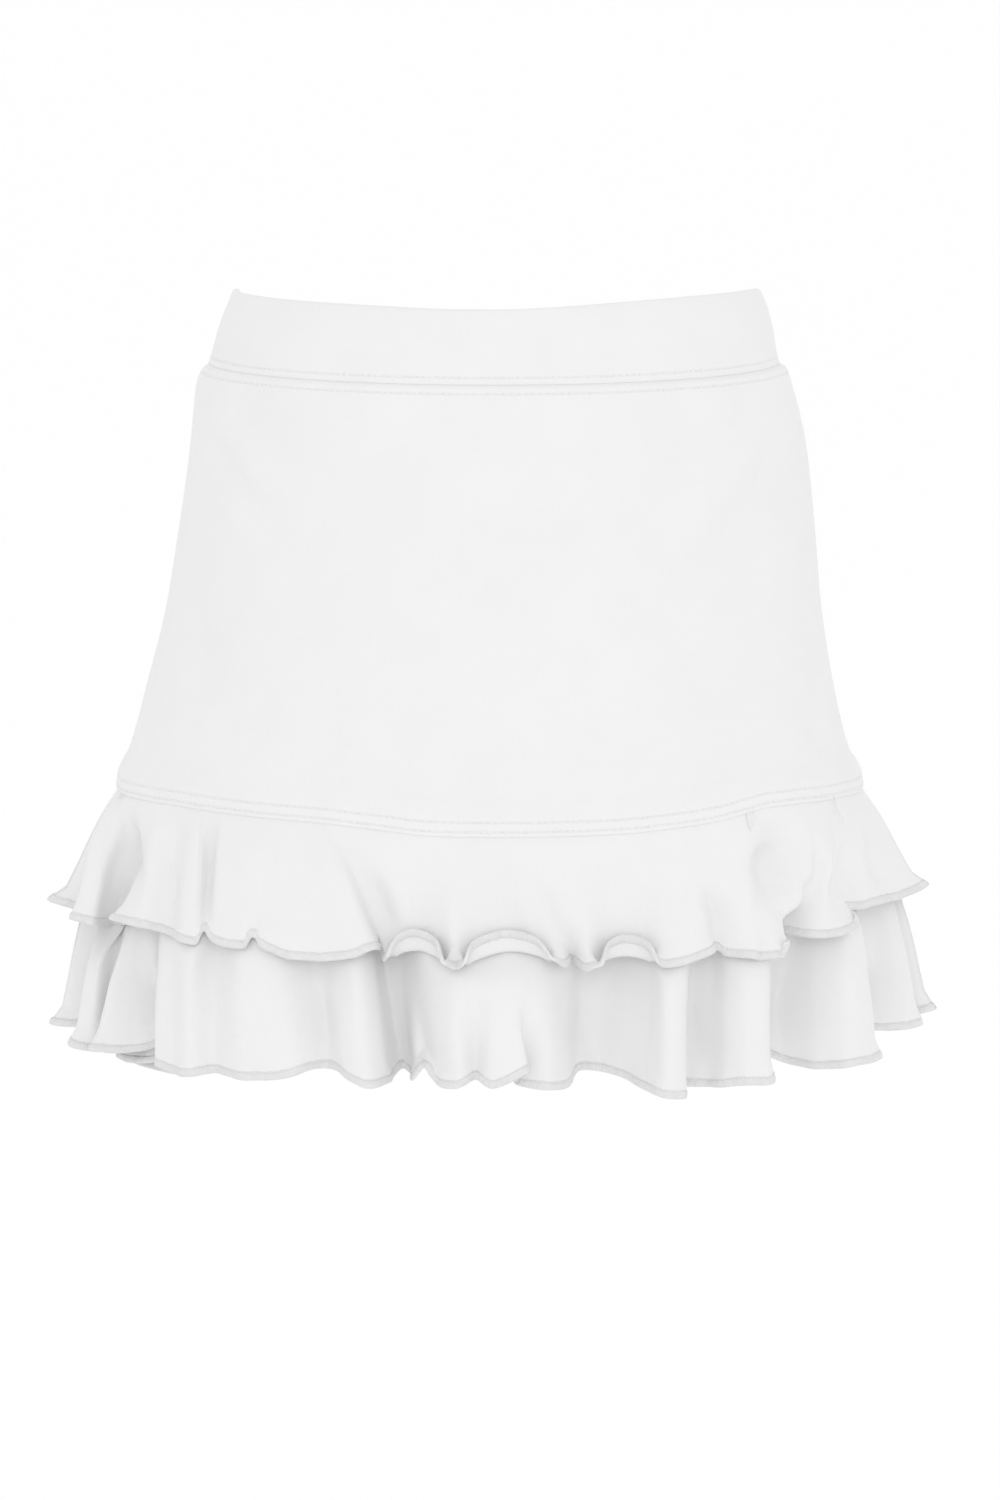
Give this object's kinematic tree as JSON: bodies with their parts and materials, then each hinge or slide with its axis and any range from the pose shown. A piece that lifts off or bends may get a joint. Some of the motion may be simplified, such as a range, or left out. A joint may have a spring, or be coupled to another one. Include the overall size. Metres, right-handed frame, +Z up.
{
  "type": "tennis skort",
  "caption": "Pull-on tennis skort: wide elastic waistband, smooth A-line skirt, double flounce with wavy rolled hems, plain shorts inside.",
  "frame": {"origin": "centre of the waist opening, at half the height of the waistband", "axes": "+Z up out of the waist, -Y towards the front of the garment, +X towards the wearer's left, along the width"},
  "size_m": [0.3775, 0.2807, 0.3206],
  "materials": {
    "cloth_white": "matt white fine knit"
  },
  "bodies": {
    "root": {"waistband": "cloth_white", "skirt_front": "cloth_white", "skirt_back": "cloth_white", "upper_ruffle_front": "cloth_white", "upper_ruffle_back": "cloth_white", "lower_ruffle_front": "cloth_white", "lower_ruffle_back": "cloth_white", "short_leg_left": "cloth_white", "short_leg_right": "cloth_white"}
  },
  "joints": []
}
